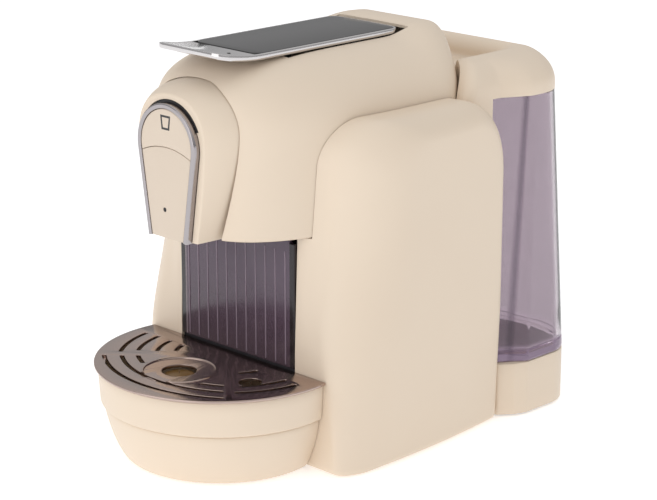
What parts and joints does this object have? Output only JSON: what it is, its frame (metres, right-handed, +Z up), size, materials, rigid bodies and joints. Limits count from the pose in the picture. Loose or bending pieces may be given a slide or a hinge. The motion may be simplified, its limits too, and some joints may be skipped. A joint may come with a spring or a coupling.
{
  "type": "pod coffee machine",
  "caption": "Compact lever-operated pod coffee machine with an overhanging head, drip tray and grid, smoky capsule container, brew button and a lift-off rear water tank.",
  "frame": {"origin": "middle of the footprint, on the counter", "axes": "+X is the right of the machine, -Y its front, +Z up"},
  "size_m": [0.194, 0.3054, 0.2541],
  "materials": {
    "cream": "satin",
    "smoke": "smoky translucent plastic",
    "tank_smoke": "smoky translucent plastic",
    "chrome": "polished",
    "dark_gloss": "gloss",
    "black": "matte",
    "steel": "plain",
    "rubber": "matte",
    "silicone": "translucent white",
    "grey": "matte",
    "white": "matte",
    "amber": "gloss",
    "cast": "cast",
    "board": "solder mask"
  },
  "bodies": {
    "machine": {"base_plate": "steel", "rubber_feet": "rubber", "bowl_foot": "silicone", "front_bowl": "cream", "frame_left": "grey", "frame_right": "grey", "bay_shelf": "grey", "rear_bulkhead": "grey", "left_cover": "cream", "right_cover": "cream", "head_shell": "cream", "front_cowl": "cream", "chrome_arch": "chrome", "badge_panel": "cream", "status_lamp": "black", "nozzle_plate": "black", "coffee_spout": "black", "button_spring": "steel", "button_switch": "black", "lever_pin": "steel", "hinge_bracket": "grey", "rocker_pin": "steel", "brew_seal": "rubber", "piston_guide": "grey", "infusion_plate": "grey", "capsule_chute": "grey", "tank_pedestal": "cream", "tank_socket": "grey", "socket_seal": "rubber", "pump": "black", "pump_mounts": "rubber", "thermoblock": "cast", "thermostat": "black", "hot_hose": "silicone", "flow_meter": "white", "inlet_hose": "silicone", "pressure_hose": "silicone", "brew_hose": "silicone", "control_board": "board", "switch_housing": "black", "cord_inlet": "black", "base_screws": "steel"},
    "tray": {"drip_tray": "cream"},
    "grid": {"drip_grid": "chrome"},
    "float": {"level_float": "amber"},
    "container": {"capsule_container": "smoke"},
    "button": {"brew_button": "cream", "cup_icon": "black"},
    "lever": {"lever_frame": "chrome", "lever_insert": "dark_gloss"},
    "rocker": {"rocker_arms": "steel"},
    "piston": {"injection_piston": "white", "piston_yoke": "steel", "piercing_plate": "steel"},
    "tank": {"water_tank": "tank_smoke", "valve_bush": "grey", "valve_spring": "steel"},
    "valve": {"valve_stem": "white"},
    "lid": {"tank_lid": "cream"},
    "power_switch": {"power_rocker": "black"}
  },
  "joints": [
    {"name": "tray_slide", "type": "slide", "parent": "machine", "child": "tray", "axis": [0, -1, 0], "range_m": [0, 0.122]},
    {"name": "grid_lift", "type": "slide", "parent": "tray", "child": "grid", "axis": [0, 0, 1], "range_m": [0, 0.025]},
    {"name": "float_rise", "type": "slide", "parent": "tray", "child": "float", "axis": [0, 0, 1], "range_m": [0, 0.006]},
    {"name": "container_slide", "type": "slide", "parent": "machine", "child": "container", "axis": [0, -1, 0], "range_m": [0, 0.115]},
    {"name": "button_press", "type": "slide", "parent": "machine", "child": "button", "axis": [0, 1, 0], "range_m": [0, 0.0015], "stiffness_N_per_m": 500},
    {"name": "lever_lift", "type": "hinge", "parent": "machine", "child": "lever", "pos_m": [0, 0.0468, 0.2423], "axis": [-1, 0, 0], "range_deg": [0, 85]},
    {"name": "rocker_swing", "type": "hinge", "parent": "machine", "child": "rocker", "pos_m": [0, 0.0468, 0.208], "axis": [1, 0, 0], "range_deg": [0, 43.35]},
    {"name": "piston_stroke", "type": "slide", "parent": "machine", "child": "piston", "axis": [0, 1, 0], "range_m": [0, 0.01771]},
    {"name": "tank_lift", "type": "slide", "parent": "machine", "child": "tank", "axis": [0, 0, 1], "range_m": [0, 0.04]},
    {"name": "valve_open", "type": "slide", "parent": "tank", "child": "valve", "axis": [0, 0, 1], "range_m": [0, 0.003], "stiffness_N_per_m": 120, "deforming": ["valve_spring"]},
    {"name": "lid_lift", "type": "slide", "parent": "tank", "child": "lid", "axis": [0, 0, 1], "range_m": [0, 0.025]},
    {"name": "power_rock", "type": "hinge", "parent": "machine", "child": "power_switch", "pos_m": [-0.052, 0.1493, 0.02], "axis": [1, 0, 0], "range_deg": [-8, 8]}
  ],
  "couplings": [
    {"joint": "rocker_swing", "follows": "lever_lift", "ratio": 0.50652},
    {"joint": "piston_stroke", "follows": "lever_lift", "m_per_rad": 0.011872}
  ]
}
